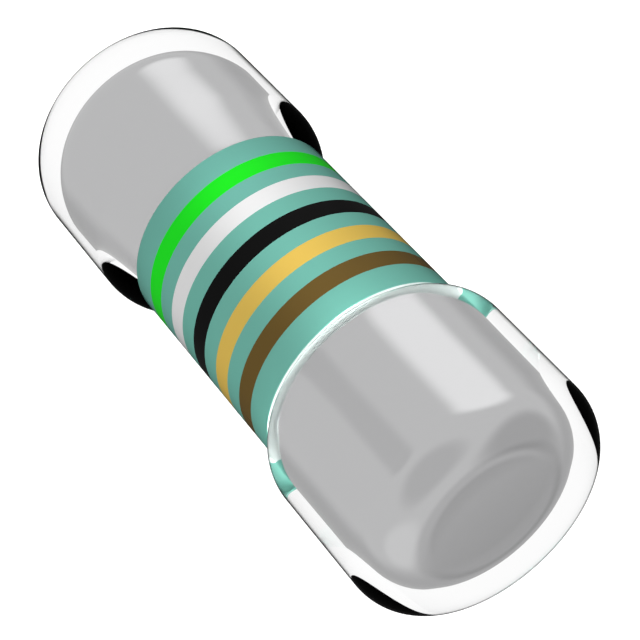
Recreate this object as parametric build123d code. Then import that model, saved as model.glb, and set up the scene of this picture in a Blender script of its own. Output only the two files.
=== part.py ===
from build123d import *
import os

# A cylindrical film resistor of the 3.6 x 1.4 mm size, built like the real one: a ceramic rod
# carries a thin resistive film, a metal cup is pressed over the film at each end, a thick coloured
# coat covers the film between the cups and carries five colour bands, and a clear rounded cap
# encloses each cup. It stands on its lower end: the axis is +Z and the origin is the middle of
# the lower end face. All lengths are in millimetres.

# Overall
part_length = 3.6

# Clear caps
cap_diameter = 1.4
cap_gap = 1.25              # between the shoulders of the two caps
cap_edge_radius = 0.285     # rounding at both rims of a cap
cap_end_wall = 0.14         # clear material between a cup's floor and the cap's end face

# Coloured coat over the film
coat_thickness = 0.1475
coat_lap = 0.07             # the upper cap closes over this much of the coat's end

# Colour bands, flush with the coat, named from the lower end up
band_names = ["green", "white", "black", "gold", "brown"]
band_width = 0.111
band_gap = 0.112
band_depth = 0.03

# Ceramic rod and its film
rod_diameter = 0.9
film_thickness = 0.015

# Metal cups pressed over the ends of the rod
cup_wall = 0.075
cup_floor = 0.12
cup_outer_corner = 0.2
cup_inner_corner = 0.1

# Helical groove that trims the film to its value
groove_width = 0.05
groove_pitch = 0.22
groove_turns = 4

# Sizes that follow from those above
middle = part_length / 2
cap_radius = cap_diameter / 2
cap_length = (part_length - cap_gap) / 2
coat_low = cap_length
coat_length = cap_gap + coat_lap
coat_middle = coat_low + coat_length / 2
band_pitch = band_width + band_gap
rod_radius = rod_diameter / 2
rod_low = cap_end_wall + cup_floor
rod_chamfer = cup_inner_corner   # clears the rounded corner inside a cup
rod_length = part_length - 2 * rod_low
film_radius = rod_radius + film_thickness
coat_radius = film_radius + coat_thickness
film_low = rod_low + cup_inner_corner
film_length = part_length - 2 * film_low
cup_radius = film_radius + cup_wall
cup_length = cap_length - cap_end_wall


def cylinder(radius, length, low):
    """A solid cylinder on the part's axis that starts at height low."""
    return Pos(0, 0, low) * Cylinder(radius, length, align=(Align.CENTER, Align.CENTER, Align.MIN))


def tube(outer_radius, inner_radius, length, low):
    """A plain tube on the part's axis that starts at height low."""
    return cylinder(outer_radius, length, low) - cylinder(inner_radius, length, low)


def rounded_below(radius, length, low, corner):
    """A solid cylinder with its lower rim rounded."""
    shape = cylinder(radius, length, low)
    return fillet(shape.edges().filter_by(GeomType.CIRCLE).sort_by(Axis.Z)[0], corner)


def mirrored_up(piece):
    """The same piece at the other end of the part."""
    return mirror(piece, about=Plane.XY.offset(middle))


def ceramic_rod():
    """The insulating core, chamfered so that it enters the cups."""
    rod = cylinder(rod_radius, rod_length, rod_low)
    return chamfer(rod.edges().filter_by(GeomType.CIRCLE), rod_chamfer)


def trimming_groove():
    """A helical bar that stands through the film's whole thickness."""
    height = groove_pitch * groove_turns
    start = middle - height / 2
    path = Helix(groove_pitch, height, rod_radius + film_thickness / 2, center=(0, 0, start))
    mouth = Plane(path @ 0, x_dir=(1, 0, 0), z_dir=path % 0)
    section = mouth * Rectangle(2 * film_thickness, groove_width)
    return sweep(section, path=path, is_frenet=True)


def resistive_film():
    """The film on the rod, cut into a helical track by the trimming groove."""
    return tube(film_radius, rod_radius, film_length, film_low) - trimming_groove()


def cup_outside():
    """The outer shape of the lower metal cup, with its rounded closed end."""
    return rounded_below(cup_radius, cup_length, cap_end_wall, cup_outer_corner)


def metal_cup():
    """The lower cup: its bore is pressed over the film, and its floor meets the rod's end."""
    return cup_outside() - rounded_below(film_radius, cap_length - rod_low, rod_low, cup_inner_corner)


def clear_cap(lap):
    """A lower clear cap, rounded at both rims, that closes over its cup and a lap of the coat."""
    cap = cylinder(cap_radius, cap_length, 0)
    cap = fillet(cap.edges().filter_by(GeomType.CIRCLE), cap_edge_radius) - cup_outside()
    if lap > 0:
        cap -= cylinder(coat_radius, lap, cap_length - lap)
    return cap


def colour_band(index):
    """One painted ring, let into the coat so that its outside is flush."""
    step = index - (len(band_names) - 1) / 2
    low = coat_middle + step * band_pitch - band_width / 2
    return tube(coat_radius, coat_radius - band_depth, band_width, low)


def lacquer_coat(film, upper_cup, bands):
    """The coat round the film, which fills the trimming groove, laps the upper cup and seats the bands."""
    coat = tube(coat_radius, rod_radius, coat_length, coat_low) - film - upper_cup
    for band in bands:
        coat -= band
    return coat


def build():
    """Every piece of the resistor by the name of its node."""
    film = resistive_film()
    cup = metal_cup()
    upper_cup = mirrored_up(cup)
    bands = {"band_" + name: colour_band(index) for index, name in enumerate(band_names)}
    pieces = {
        "ceramic_rod": ceramic_rod(),
        "resistive_film": film,
        "lower_metal_cup": cup,
        "upper_metal_cup": upper_cup,
        "lower_clear_cap": clear_cap(0),
        "upper_clear_cap": mirrored_up(clear_cap(coat_lap)),
        "lacquer_coat": lacquer_coat(film, upper_cup, bands.values()),
    }
    return {**pieces, **bands}


os.makedirs("parts", exist_ok=True)
for name, piece in build().items():
    export_step(piece, "parts/" + name + ".step")
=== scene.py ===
"""A clear-capped cylindrical film resistor, dressed over its CAD frame.

Every size is in metres and every piece lies where the frame's node of the same name lies: the axis
is +Z and the part stands on its lower end. The clear caps, metal cups, lacquer coat and colour bands
are surfaces of revolution worked out with numpy; the ceramic rod and its film stay as they are.
"""

import math

import bpy
import numpy as np
from mathutils import Matrix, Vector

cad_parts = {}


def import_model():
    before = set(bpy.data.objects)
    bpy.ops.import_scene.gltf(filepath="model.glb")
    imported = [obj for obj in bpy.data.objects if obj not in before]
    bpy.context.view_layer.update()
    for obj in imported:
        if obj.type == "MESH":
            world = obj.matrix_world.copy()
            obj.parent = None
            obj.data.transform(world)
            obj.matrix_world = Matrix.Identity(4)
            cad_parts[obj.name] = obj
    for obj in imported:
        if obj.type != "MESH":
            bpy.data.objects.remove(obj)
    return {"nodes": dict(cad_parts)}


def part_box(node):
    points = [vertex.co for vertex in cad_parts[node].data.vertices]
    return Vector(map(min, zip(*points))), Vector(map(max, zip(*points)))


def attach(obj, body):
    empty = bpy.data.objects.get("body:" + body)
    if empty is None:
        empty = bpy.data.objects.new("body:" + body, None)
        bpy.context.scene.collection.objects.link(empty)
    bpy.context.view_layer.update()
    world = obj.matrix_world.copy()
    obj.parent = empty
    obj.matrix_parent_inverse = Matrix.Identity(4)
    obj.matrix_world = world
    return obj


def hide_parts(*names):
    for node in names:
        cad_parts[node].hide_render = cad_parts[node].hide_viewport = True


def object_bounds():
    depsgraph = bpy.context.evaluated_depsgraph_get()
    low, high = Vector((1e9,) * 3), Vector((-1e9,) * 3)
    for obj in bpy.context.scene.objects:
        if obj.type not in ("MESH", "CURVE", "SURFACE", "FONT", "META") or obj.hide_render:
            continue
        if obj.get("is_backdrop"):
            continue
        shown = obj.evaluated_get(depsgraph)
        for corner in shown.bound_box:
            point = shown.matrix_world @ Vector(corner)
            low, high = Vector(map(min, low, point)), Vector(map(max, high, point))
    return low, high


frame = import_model()
cad_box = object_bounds()

bl_info = {
    "name": "Clear-capped film resistor",
    "version": (1, 0, 0),
    "blender": (4, 5, 0),
    "location": "3D View > Sidebar > Resistor",
    "description": "Builds and dresses a cylindrical surface-mount film resistor with clear end caps",
    "category": "Add Mesh",
}

MM = 0.001
TURN = 2 * math.pi
BANDS = ("band_green", "band_white", "band_black", "band_gold", "band_brown")

CRISP_FROM = 32     # an edge that turns by more degrees than this stays crisp
RIM_STEPS = 48      # points on the arcs of a clear cap
FLOOR_STEPS = 32    # points on the arc at the bottom of its bore
EDGE_STEPS = 6      # points on the coat's small edge arcs


def linear(code):
    """An sRGB hex colour as linear red, green and blue."""
    srgb = np.array([int(code[i:i + 2], 16) for i in (1, 3, 5)]) / 255
    return tuple(np.where(srgb <= 0.04045, srgb / 12.92, ((srgb + 0.055) / 1.055) ** 2.4))


# ---------------------------------------------------------------- sizes and colours a user changes

class ResistorSizes(bpy.types.PropertyGroup):
    """Roundings and small clearances of the pieces."""

    cap_edge: bpy.props.FloatProperty(
        name="Cap edge", description="Rounding at both rims of a clear cap",
        default=0.285 * MM, unit="LENGTH", precision=6)
    cup_corner: bpy.props.FloatProperty(
        name="Cup corner", description="Rounding of a metal cup's closed end",
        default=0.2 * MM, unit="LENGTH", precision=6)
    cup_bore_corner: bpy.props.FloatProperty(
        name="Cup bore corner", description="Rounding at the bottom of a metal cup's bore",
        default=0.1 * MM, unit="LENGTH", precision=6)
    coat_edge: bpy.props.FloatProperty(
        name="Coat edge", description="Small rounding at both ends of the lacquer coat",
        default=0.012 * MM, unit="LENGTH", precision=6)
    band_depth: bpy.props.FloatProperty(
        name="Band depth", description="How deep a colour band is let into the coat",
        default=0.03 * MM, unit="LENGTH", precision=6)
    seat: bpy.props.FloatProperty(
        name="Seat", description="How far clear material reaches into what it is moulded round",
        default=0.002 * MM, unit="LENGTH", precision=6)


class ResistorColours(bpy.types.PropertyGroup):
    """Colours of the finishes, kept linear."""

    lacquer: bpy.props.FloatVectorProperty(
        name="Lacquer", description="Turquoise body lacquer", subtype="COLOR",
        default=linear("#80CBBB"))
    # the pale colour on the front half of each cut end is a painted highlight, not the lacquer's own colour
    end_painted_highlight: bpy.props.FloatVectorProperty(
        name="Lacquer end", description="Pale cut edge of the lacquer beside each clear cap",
        subtype="COLOR", default=linear("#F4FFFB"))
    green: bpy.props.FloatVectorProperty(
        name="Green", description="Paint of the band nearest the lower end", subtype="COLOR",
        default=linear("#27FF2B"))
    white: bpy.props.FloatVectorProperty(
        name="White", description="Paint of the second band", subtype="COLOR",
        default=linear("#FFFFFF"))
    black: bpy.props.FloatVectorProperty(
        name="Black", description="Paint of the middle band", subtype="COLOR",
        default=linear("#151515"))
    gold: bpy.props.FloatVectorProperty(
        name="Gold", description="Paint of the fourth band", subtype="COLOR",
        default=linear("#F8D366"))
    brown: bpy.props.FloatVectorProperty(
        name="Brown", description="Paint of the band nearest the upper end", subtype="COLOR",
        default=linear("#796132"))


# ---------------------------------------------------------------- surfaces

def arc(centre_r, centre_z, radius, start, stop, steps=16):
    """Profile points on a circle in the r-z half-plane.

    Each is centre + radius (cos a, sin a), with a going from start to stop in degrees.
    """
    a = np.radians(np.linspace(start, stop, steps))
    return np.column_stack([centre_r + radius * np.cos(a), centre_z + radius * np.sin(a)])


def revolved(name, profile, closed=False, segments=288):
    """A profile of (r, z) points carried round the Z axis: x = r cos a, y = r sin a, z = z.

    A closed profile joins its last point to its first and makes a ring. An open one starts and ends
    on the axis, where a single pole closes the surface with triangles. Faces are turned outwards by
    the sign of the volume that they enclose.
    """
    a = np.arange(segments) * TURN / segments
    rings = profile if closed else profile[1:-1]
    r, z = rings[:, :1], rings[:, 1:]
    grid = np.stack([r * np.cos(a), r * np.sin(a), z + 0 * a], axis=-1)
    points = grid.reshape(-1, 3)
    index = np.arange(len(points)).reshape(len(rings), segments)
    across = index if closed else index[:-1]
    above = np.roll(index, -1, axis=0) if closed else index[1:]
    quads = np.stack([across, np.roll(across, -1, axis=1), np.roll(above, -1, axis=1), above], axis=-1)
    quads = quads.reshape(-1, 4)
    fans = np.empty((0, 3), int)
    if not closed:
        low, high = len(points), len(points) + 1
        points = np.vstack([points, [0, 0, profile[0, 1]], [0, 0, profile[-1, 1]]])
        first, last = index[0], index[-1]
        fans = np.vstack([
            np.column_stack([np.full(segments, low), np.roll(first, -1), first]),
            np.column_stack([np.full(segments, high), last, np.roll(last, -1)]),
        ])
    triangles = np.vstack([quads[:, [0, 1, 2]], quads[:, [0, 2, 3]], fans])
    p, q, s = (points[triangles[:, i]] for i in range(3))
    if np.einsum("ij,ij->", p, np.cross(q, s)) < 0:
        quads, fans = quads[:, ::-1], fans[:, ::-1]
    mesh = bpy.data.meshes.new(name)
    mesh.from_pydata(points, [], quads.tolist() + fans.tolist())
    mesh.shade_smooth()
    mesh.set_sharp_from_angle(angle=math.radians(CRISP_FROM))
    piece = bpy.data.objects.new(name, mesh)
    bpy.context.scene.collection.objects.link(piece)
    return piece


def turned_over(profile, length):
    """A lower piece's profile at the other end of the part: z becomes length - z."""
    return np.column_stack([profile[:, 0], length - profile[:, 1]])[::-1]


def seated(piece, node, material):
    """Gives a piece its finish, rides it on the root and hides the node that it stands for."""
    piece.data.materials.append(material)
    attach(piece, "root")
    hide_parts(node)
    return piece


def size_of(node):
    """A node's radius, lowest and highest height."""
    low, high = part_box(node)
    return high[0], low[2], high[2]


# ---------------------------------------------------------------- materials

def add_node(tree, kind, settings=(), links=()):
    """Adds one node: settings go to its sockets, or to the node where it has no such socket."""
    node = tree.nodes.new(kind)
    for key, value in dict(settings).items():
        if isinstance(key, int) or key in node.inputs:
            node.inputs[key].default_value = value
        else:
            setattr(node, key, value)
    for key, source in dict(links).items():
        tree.links.new(source, node.inputs[key])
    return node


def new_material(name):
    """An empty node material with its output."""
    material = bpy.data.materials.new(name)
    material.use_nodes = True
    material.node_tree.nodes.clear()
    return material, material.node_tree, material.node_tree.nodes.new("ShaderNodeOutputMaterial")


RESIN_IOR = 1.115                   # a clear cap bends light less than window glass does
RIM_STARTS, RIM_FULL = 0.15, 0.5    # mirrored shares of light between which a cap's outline darkens
RIM_LOSS = 0.85                     # the share of light that the painted dark outline takes away
WHOLLY = 0.999                      # a mirrored share above this is light turned back whole
PLAIN_GLOSS = 0.5                   # the specular level at which the index alone sets the gloss


def clear_resin():
    """Clear cast resin: faultless and polished, so a cap shows its cup sharply, inside a painted dark
    outline.

    Where light is turned back whole inside a cap, the cap is painted black and opaque, which leaves black
    patches of painted shade at its rims. Where light meets its outside at a grazing angle, it is mostly
    painted dark, which draws the outline as painted shade.
    """
    material, tree, out = new_material("clear_cast_resin")
    mirror = add_node(tree, "ShaderNodeFresnel", {"IOR": RESIN_IOR})
    side = add_node(tree, "ShaderNodeNewGeometry")
    turned_back = add_node(tree, "ShaderNodeMath", {"operation": "GREATER_THAN", 1: WHOLLY},
                           {0: mirror.outputs["Fac"]})
    trapped = add_node(tree, "ShaderNodeMath", {"operation": "MULTIPLY"},
                       {0: turned_back.outputs[0], 1: side.outputs["Backfacing"]})
    rim = add_node(tree, "ShaderNodeMapRange", {
        "interpolation_type": "SMOOTHSTEP", "From Min": RIM_STARTS, "From Max": RIM_FULL,
        "To Max": RIM_LOSS,
    }, {"Value": mirror.outputs["Fac"]})
    front = add_node(tree, "ShaderNodeMath", {"operation": "SUBTRACT", 0: 1.0},
                     {1: side.outputs["Backfacing"]})
    dark_rim = add_node(tree, "ShaderNodeMath", {"operation": "MULTIPLY"},
                        {0: rim.outputs["Result"], 1: front.outputs[0]})
    painted_dark = add_node(tree, "ShaderNodeMath", {"operation": "MAXIMUM"},
                    {0: trapped.outputs[0], 1: dark_rim.outputs[0]})
    passed = add_node(tree, "ShaderNodeMath", {"operation": "SUBTRACT", 0: 1.0}, {1: painted_dark.outputs[0]})
    gloss = add_node(tree, "ShaderNodeMath", {"operation": "MULTIPLY", 1: PLAIN_GLOSS},
                     {0: passed.outputs[0]})
    # base colour goes black where the cap is painted dark: painted shade for the black patches and the
    # outline
    tint = add_node(tree, "ShaderNodeMix", {"data_type": "RGBA", 6: (1, 1, 1, 1), 7: (0, 0, 0, 1)},
                    {0: painted_dark.outputs[0]})
    shader = add_node(tree, "ShaderNodeBsdfPrincipled", {"Roughness": 0.0, "IOR": RESIN_IOR}, {
        "Base Color": tint.outputs[2], "Transmission Weight": passed.outputs[0],
        "Specular IOR Level": gloss.outputs[0]})
    tree.links.new(shader.outputs["BSDF"], out.inputs["Surface"])
    return material


def tinned_steel():
    """Tinned deep-drawn steel: satin, so a cup mirrors the room as soft streaks along its wall."""
    material, tree, out = new_material("tinned_drawn_steel")
    place = add_node(tree, "ShaderNodeTexCoord")
    # faint drawing lines along the wall, in millimetres
    apart, long = 0.04, 4
    lines = add_node(tree, "ShaderNodeMapping", {
        "Scale": (1 / apart / MM, 1 / apart / MM, 1 / long / MM)}, {"Vector": place.outputs["Object"]})
    noise = add_node(tree, "ShaderNodeTexNoise", {"Scale": 1.0, "Detail": 2.0},
                     {"Vector": lines.outputs["Vector"]})
    sheen = add_node(tree, "ShaderNodeMapRange", {"To Min": 0.09, "To Max": 0.13},
                     {"Value": noise.outputs["Fac"]})
    shader = add_node(tree, "ShaderNodeBsdfPrincipled", {
        "Base Color": (*linear("#D9D9DA"), 1), "Metallic": 1.0}, {"Roughness": sheen.outputs["Result"]})
    tree.links.new(shader.outputs["BSDF"], out.inputs["Surface"])
    return material


LUSTRE = 0.5    # how far lacquer and band paint shine in their own colour, as a metal does


def lacquer(name, colour, ends=None, roughness=0.6, grain=0.05):
    """Baked matt lacquer or printed band paint: a soft lustre along the body and a faint orange peel.

    Grain is the orange peel's size in millimetres. Ends give the two heights beyond which the coat's
    cut edge shows, and the pale colour of a painted highlight on the edge's front half.
    """
    material, tree, out = new_material(name)
    place = add_node(tree, "ShaderNodeTexCoord")
    tint = {}
    if ends:
        low, high, pale = ends
        point = add_node(tree, "ShaderNodeSeparateXYZ", (), {0: place.outputs["Object"]})
        away = add_node(tree, "ShaderNodeMath", {"operation": "SUBTRACT", 1: (low + high) / 2},
                        {0: point.outputs["Z"]})
        far = add_node(tree, "ShaderNodeMath", {"operation": "ABSOLUTE"}, {0: away.outputs[0]})
        cut = add_node(tree, "ShaderNodeMath", {"operation": "GREATER_THAN", 1: (high - low) / 2},
                       {0: far.outputs[0]})
        # the front half of each cut end, Y below zero, gets the pale colour as a painted highlight
        front = add_node(tree, "ShaderNodeMath", {"operation": "LESS_THAN", 1: 0.0},
                         {0: point.outputs["Y"]})
        highlight_half = add_node(tree, "ShaderNodeMath", {"operation": "MULTIPLY"}, {
            0: cut.outputs[0], 1: front.outputs[0]})
        paint = add_node(tree, "ShaderNodeMix", {"data_type": "RGBA", 6: (*colour, 1), 7: (*pale, 1)},
                         {0: highlight_half.outputs[0]})
        tint = {"Base Color": paint.outputs[2]}
    noise = add_node(tree, "ShaderNodeTexNoise", {"Scale": 1 / grain / MM, "Detail": 3.0},
                     {"Vector": place.outputs["Object"]})
    bump = add_node(tree, "ShaderNodeBump", {"Strength": 0.05, "Distance": 0.002 * MM},
                    {"Height": noise.outputs["Fac"]})
    shader = add_node(tree, "ShaderNodeBsdfPrincipled", {
        "Base Color": (*colour, 1), "Metallic": LUSTRE, "Roughness": roughness,
        "Specular IOR Level": 0.02, "Specular Tint": (*colour, 1),
        "Coat Weight": 1.0, "Coat Roughness": 0.1, "Coat IOR": 1.6,
    }, {"Normal": bump.outputs["Normal"], **tint})
    tree.links.new(shader.outputs["BSDF"], out.inputs["Surface"])
    return material


def inner_finish(name, colour, roughness, metallic=0.0):
    """The finish of a piece inside the part: one colour whose sheen varies a little, in fine grains."""
    material, tree, out = new_material(name)
    place = add_node(tree, "ShaderNodeTexCoord")
    grain, spread = 0.02, 0.05
    noise = add_node(tree, "ShaderNodeTexNoise", {"Scale": 1 / grain / MM},
                     {"Vector": place.outputs["Object"]})
    rough = add_node(tree, "ShaderNodeMapRange", {
        "To Min": roughness - spread, "To Max": roughness + spread}, {"Value": noise.outputs["Fac"]})
    shader = add_node(tree, "ShaderNodeBsdfPrincipled", {
        "Base Color": (*colour, 1), "Metallic": metallic}, {"Roughness": rough.outputs["Result"]})
    tree.links.new(shader.outputs["BSDF"], out.inputs["Surface"])
    return material


# ---------------------------------------------------------------- operators

class RESISTOR_OT_core(bpy.types.Operator):
    """Finishes the ceramic rod and its resistive film, which stay as the frame has them"""
    bl_idname = "resistor.core"
    bl_label = "Rod and film"

    def execute(self, context):
        finishes = {
            # fired alumina is off-white and chalky matt
            "ceramic_rod": inner_finish("fired_alumina", linear("#E9E6DF"), 0.7),
            # sputtered nickel-chrome is a warm grey metal with a dull shine
            "resistive_film": inner_finish("sputtered_nickel_chrome", linear("#8C8882"), 0.35, 1.0),
        }
        for node, material in finishes.items():
            mesh = frame["nodes"][node].data
            mesh.materials.clear()
            mesh.materials.append(material)
        return {"FINISHED"}


class RESISTOR_OT_metal_cups(bpy.types.Operator):
    """Builds the two drawn metal cups that close over the ends of the film"""
    bl_idname = "resistor.metal_cups"
    bl_label = "Metal cups"

    def execute(self, context):
        sizes = context.scene.resistor_sizes
        radius, foot, rim = size_of("lower_metal_cup")
        bore = size_of("resistive_film")[0]
        floor = size_of("ceramic_rod")[1]
        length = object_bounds()[1][2]
        outer, inner = sizes.cup_corner, sizes.cup_bore_corner
        profile = np.vstack([
            [[0, foot]],
            arc(radius - outer, foot + outer, outer, -90, 0),
            [[radius, rim], [bore, rim]],
            arc(bore - inner, floor + inner, inner, 0, -90),
            [[0, floor]],
        ])
        steel = tinned_steel()
        lower, upper = revolved("lower_cup", profile), revolved("upper_cup", turned_over(profile, length))
        seated(lower, "lower_metal_cup", steel)
        seated(upper, "upper_metal_cup", steel)
        return {"FINISHED"}


class RESISTOR_OT_coat(bpy.types.Operator):
    """Builds the lacquer coat with a shallow groove for each colour band"""
    bl_idname = "resistor.coat"
    bl_label = "Lacquer coat"

    def execute(self, context):
        sizes, colours = context.scene.resistor_sizes, context.scene.resistor_colours
        radius, low, high = size_of("lacquer_coat")
        bore = size_of("resistive_film")[0]
        cup, lap = size_of("upper_metal_cup")[:2]
        edge, groove = sizes.coat_edge, radius - sizes.band_depth
        spans = [size_of(band)[1:] for band in BANDS]
        grooves = [[(radius, a), (groove, a), (groove, b), (radius, b)] for a, b in spans]
        profile = np.vstack([
            [[bore, low]],
            arc(radius - edge, low + edge, edge, -90, 0, EDGE_STEPS),
            *grooves,
            arc(radius - edge, high - edge, edge, 0, 90, EDGE_STEPS),
            [[cup, high], [cup, lap], [bore, lap]],
        ])
        coat = revolved("coat", profile, closed=True)
        # the pale colour on the front half of each cut end is a painted highlight
        ends = low + edge / 2, high - edge / 2, colours.end_painted_highlight
        paint = lacquer("turquoise_baked_lacquer", colours.lacquer, ends)
        seated(coat, "lacquer_coat", paint)
        return {"FINISHED"}


class RESISTOR_OT_bands(bpy.types.Operator):
    """Builds the five colour bands, flush with the coat"""
    bl_idname = "resistor.bands"
    bl_label = "Colour bands"

    def execute(self, context):
        sizes, colours = context.scene.resistor_sizes, context.scene.resistor_colours
        for node in BANDS:
            radius, low, high = size_of(node)
            groove = radius - sizes.band_depth
            profile = np.array([[groove, low], [radius, low], [radius, high], [groove, high]])
            colour = node.removeprefix("band_")
            paint = lacquer(colour + "_band_paint", getattr(colours, colour))
            seated(revolved(colour + "_band", profile, closed=True), node, paint)
        return {"FINISHED"}


class RESISTOR_OT_clear_caps(bpy.types.Operator):
    """Builds the two clear caps, rounded at both rims and moulded round the cups"""
    bl_idname = "resistor.clear_caps"
    bl_label = "Clear caps"

    def execute(self, context):
        sizes = context.scene.resistor_sizes
        radius = size_of("lower_clear_cap")[0]
        shoulder = size_of("lacquer_coat")[1]
        cup, cup_foot = size_of("lower_metal_cup")[:2]
        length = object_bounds()[1][2]
        edge, seat = sizes.cap_edge, sizes.seat
        bore, corner = cup - seat, sizes.cup_corner - seat
        lap = length - size_of("upper_clear_cap")[1] + seat

        def cap_profile(last):
            """A cap's outline from its foot up to where the shoulder's arc has turned by last degrees."""
            rim = arc(radius - edge, shoulder - edge, edge, 0, last, RIM_STEPS)
            return np.vstack([
                [[0, 0]],
                arc(radius - edge, edge, edge, -90, 0, RIM_STEPS),
                rim,
                [[bore, rim[-1, 1]]],
                arc(bore - corner, cup_foot + seat + corner, corner, 0, -90, FLOOR_STEPS),
                [[0, cup_foot + seat]],
            ])

        whole = math.degrees(math.acos((cup - (radius - edge)) / edge))
        lapped = math.degrees(math.asin((lap - (shoulder - edge)) / edge))
        resin = clear_resin()
        lower = revolved("lower_cap", cap_profile(whole))
        upper = revolved("upper_cap", turned_over(cap_profile(lapped), length))
        seated(lower, "lower_clear_cap", resin)
        seated(upper, "upper_clear_cap", resin)
        return {"FINISHED"}


class RESISTOR_OT_stage(bpy.types.Operator):
    """Builds the pale floor, the soft lamps, the world and the camera"""
    bl_idname = "resistor.stage"
    bl_label = "Stage"

    def execute(self, context):
        scene = context.scene
        floor()
        world()
        painted = bpy.data.collections.new("painted_pieces")
        for name in ("floor", "coat", *(node.removeprefix("band_") + "_band" for node in BANDS)):
            painted.objects.link(bpy.data.objects[name])
        lamp("key", painted, azimuth=-111, elevation=14, distance=60, size=24, power=0.045)
        lamp("fill", painted, azimuth=15, elevation=14, distance=60, size=24, power=0.034)
        lamp("back", painted, azimuth=90, elevation=30, distance=60, size=24, power=0.03)
        scene.camera = camera()
        scene.view_settings.view_transform = "Standard"
        return {"FINISHED"}


ROOM = 0.70     # the room's own light, as the metal and the clear caps mirror it
BARE = 0.05     # the share of it that a surface outside the clear caps mirrors
INSIDE = 7.0    # given back to matt surfaces inside a clear cap, where no lamp's light arrives
FILL = 0.02     # even light on matt surfaces outside the caps

# Pale panels and dark gaps in that room: azimuth from +X, elevation and reach in
# degrees, and the light that each adds. A cup's wall mirrors what lies low round the part, and an
# upper flat end mirrors what lies behind and above it.
PANELS = (
    (-160, -30, 32, 0.37),      # the bright streak down each cup
    (-60, -25, 18, -0.10),      # the thin dark line beside it
    (90, -15, 55, -0.18),       # the darker sides of the cups
    (90, 36, 34, -0.12),        # the grey of the flat end
    (30, 30, 30, 0.10),         # the light corner on one side of it
    (150, 40, 40, -0.20),       # the dark corner on the other side
    (-70, 45, 45, -0.12),       # the shade between the wall and the flat end
)


def heading(azimuth, elevation):
    """A direction as x, y and z."""
    a, e = math.radians(azimuth), math.radians(elevation)
    return math.cos(a) * math.cos(e), math.sin(a) * math.cos(e), math.sin(e)


def mirrored_room(tree, direction):
    """The room's light in a direction: each panel is even to half its reach and then fades out."""
    total = None
    for azimuth, elevation, reach, gain in PANELS:
        angle = add_node(tree, "ShaderNodeVectorMath",
                         {"operation": "DOT_PRODUCT", 1: heading(azimuth, elevation)}, {0: direction})
        fade = add_node(tree, "ShaderNodeMapRange", {
            "interpolation_type": "SMOOTHSTEP", "To Max": gain,
            "From Min": math.cos(math.radians(reach)), "From Max": math.cos(math.radians(reach / 2)),
        }, {"Value": angle.outputs["Value"]})
        total = add_node(tree, "ShaderNodeMath", {"operation": "ADD", 0: ROOM},
                         {1: fade.outputs["Result"], **({0: total.outputs[0]} if total else {})})
    return total.outputs[0]


def chosen(tree, factor, off, on):
    """A number that goes from off to on with factor; off and on are numbers or sockets."""
    sides = {2: off, 3: on}
    numbers = {key: value for key, value in sides.items() if isinstance(value, float)}
    sockets = {key: value for key, value in sides.items() if not isinstance(value, float)}
    return add_node(tree, "ShaderNodeMix", numbers, {0: factor, **sockets}).outputs[0]


def stage_light(tree, direction):
    """How bright the world is to a ray.

    It is white to the camera, straight or through a clear cap. A mirroring surface, bare or inside a
    cap, shows the room. A matt surface gets the little fill, or more where its light leaves a cap.
    """
    path = add_node(tree, "ShaderNodeLightPath")
    camera_or_mirror = add_node(tree, "ShaderNodeMath", {"operation": "MAXIMUM"}, {
        0: path.outputs["Is Camera Ray"], 1: path.outputs["Is Glossy Ray"]})
    shown = add_node(tree, "ShaderNodeMath", {"operation": "MAXIMUM"}, {
        0: camera_or_mirror.outputs[0], 1: path.outputs["Is Transmission Ray"]})
    turned = add_node(tree, "ShaderNodeMath", {"operation": "ADD", "use_clamp": True}, {
        0: path.outputs["Glossy Depth"], 1: path.outputs["Diffuse Depth"]})
    share = add_node(tree, "ShaderNodeMapRange", {"To Min": BARE, "To Max": 1.0},
                     {"Value": path.outputs["Transmission Depth"]})
    mirrored = add_node(tree, "ShaderNodeMath", {"operation": "MULTIPLY"}, {
        0: mirrored_room(tree, direction), 1: share.outputs["Result"]})
    inside = chosen(tree, path.outputs["Diffuse Depth"], mirrored.outputs[0], INSIDE)
    backdrop = chosen(tree, turned.outputs[0], 1.0, inside)
    return chosen(tree, shown.outputs[0], FILL, backdrop)


def floor():
    """A wide pale floor that shows white and keeps the part's shadow."""
    half = 400 * MM
    corners = [(-half, -half, 0), (half, -half, 0), (half, half, 0), (-half, half, 0)]
    mesh = bpy.data.meshes.new("floor")
    mesh.from_pydata(corners, [], [(0, 1, 2, 3)])
    plane = bpy.data.objects.new("floor", mesh)
    bpy.context.scene.collection.objects.link(plane)
    plane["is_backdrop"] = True
    # clear and mirroring surfaces show the world in its place, which is as white
    plane.visible_glossy = plane.visible_transmission = False
    # the camera sees a pale floor with a glow that lifts it to white, and the part gets the bounce
    # of a dull one
    pale, glow_added, dull = 0.4, 0.93, 0.08
    material, tree, out = new_material("pale_studio_floor")
    path = add_node(tree, "ShaderNodeLightPath")
    seen = path.outputs["Is Camera Ray"]
    glow = add_node(tree, "ShaderNodeEmission", {"Color": (1, 1, 1, 1)}, {
        "Strength": chosen(tree, seen, 0.0, glow_added)})
    matt = add_node(tree, "ShaderNodeBsdfDiffuse", (), {"Color": chosen(tree, seen, dull, pale)})
    both = add_node(tree, "ShaderNodeAddShader", (), {0: matt.outputs[0], 1: glow.outputs[0]})
    tree.links.new(both.outputs[0], out.inputs["Surface"])
    mesh.materials.append(material)


def world():
    """White where it is looked at, the room's panels in reflections, and a low even fill."""
    backdrop = bpy.data.worlds.new("studio")
    backdrop.use_nodes = True
    tree = backdrop.node_tree
    tree.nodes.clear()
    out = add_node(tree, "ShaderNodeOutputWorld")
    place = add_node(tree, "ShaderNodeTexCoord")
    strength = stage_light(tree, place.outputs["Generated"])
    sky = add_node(tree, "ShaderNodeBackground", {"Color": (1, 1, 1, 1)}, {"Strength": strength})
    tree.links.new(sky.outputs[0], out.inputs["Surface"])
    bpy.context.scene.world = backdrop


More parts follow.
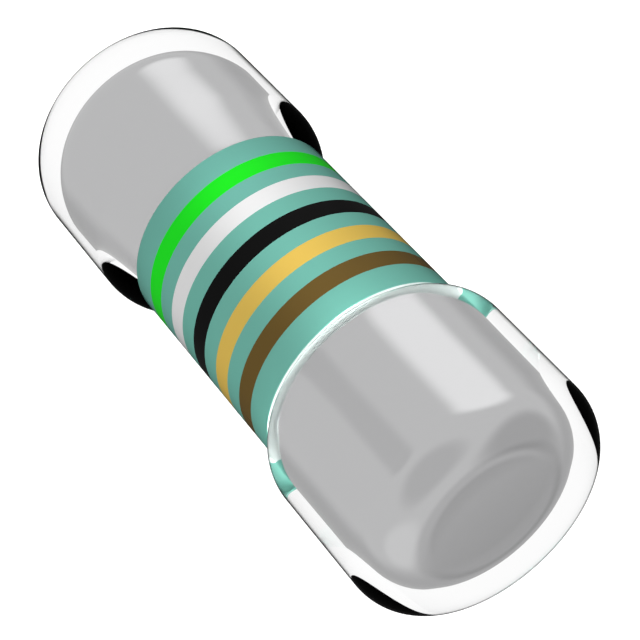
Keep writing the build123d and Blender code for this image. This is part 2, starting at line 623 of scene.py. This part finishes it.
def lamp(name, receivers, azimuth, elevation, distance, size, power):
    """A square soft lamp that faces the part: angles in degrees from +X, lengths in millimetres."""
    light = bpy.data.lights.new(name, "AREA")
    light.energy, light.size = power, size * MM
    holder = bpy.data.objects.new(name, light)
    away = np.array(heading(azimuth, elevation))
    middle = np.array([0, 0, cad_box[1][2] / 2 / MM])
    facing(holder, (middle + distance * away) * MM, -away, (0, 0, 1))
    holder.visible_camera = holder.visible_transmission = False
    holder.light_linking.receiver_collection = receivers
    bpy.context.scene.collection.objects.link(holder)
    return holder


def facing(thing, place, forward, up):
    """Puts a camera or lamp at a place, looking forward with its top towards up."""
    forward = np.array(forward) / np.linalg.norm(forward)
    right = np.cross(forward, up)
    right = right / np.linalg.norm(right)
    top = np.cross(right, forward)
    turned = np.eye(4)
    turned[:3, 0], turned[:3, 1], turned[:3, 2], turned[:3, 3] = right, top, -forward, place
    thing.matrix_world = Matrix(turned)


def camera():
    """A camera above the front, rolled so that the part lies across the picture; lengths in millimetres."""
    lens = bpy.data.cameras.new("camera")
    lens.sensor_width, lens.lens = 36, 104.96
    lens.clip_start, lens.clip_end = 0.5 * MM, 1000 * MM
    holder = bpy.data.objects.new("camera", lens)
    place, target = np.array([0, -7.727, 7.653]), np.array([-0.015, 0, 1.991])
    forward = (target - place) / np.linalg.norm(target - place)
    level = np.cross(forward, (0, 0, 1))
    level = level / np.linalg.norm(level)
    roll = math.radians(137.8)
    up = -math.sin(roll) * level + math.cos(roll) * np.cross(level, forward)
    facing(holder, place * MM, forward, up)
    bpy.context.scene.collection.objects.link(holder)
    return holder


# ---------------------------------------------------------------- panel and registration

OPERATORS = (
    RESISTOR_OT_core, RESISTOR_OT_metal_cups, RESISTOR_OT_coat, RESISTOR_OT_bands,
    RESISTOR_OT_clear_caps, RESISTOR_OT_stage,
)


class RESISTOR_PT_panel(bpy.types.Panel):
    """Lists the resistor's sizes, colours and pieces"""
    bl_idname = "RESISTOR_PT_panel"
    bl_label = "Film resistor"
    bl_space_type = "VIEW_3D"
    bl_region_type = "UI"
    bl_category = "Resistor"

    def draw(self, context):
        for group in (context.scene.resistor_sizes, context.scene.resistor_colours):
            for key in group.bl_rna.properties.keys():
                if key not in ("rna_type", "name"):
                    self.layout.prop(group, key)
        for operator in OPERATORS:
            self.layout.operator(operator.bl_idname)


CLASSES = (ResistorSizes, ResistorColours, *OPERATORS, RESISTOR_PT_panel)


def register():
    for cls in CLASSES:
        bpy.utils.register_class(cls)
    bpy.types.Scene.resistor_sizes = bpy.props.PointerProperty(type=ResistorSizes)
    bpy.types.Scene.resistor_colours = bpy.props.PointerProperty(type=ResistorColours)


def unregister():
    del bpy.types.Scene.resistor_colours
    del bpy.types.Scene.resistor_sizes
    for cls in reversed(CLASSES):
        bpy.utils.unregister_class(cls)


def main():
    """Builds the whole part."""
    register()
    for operator in OPERATORS:
        group, name = operator.bl_idname.split(".")
        getattr(getattr(bpy.ops, group), name)()


if __name__ == "__main__":
    main()
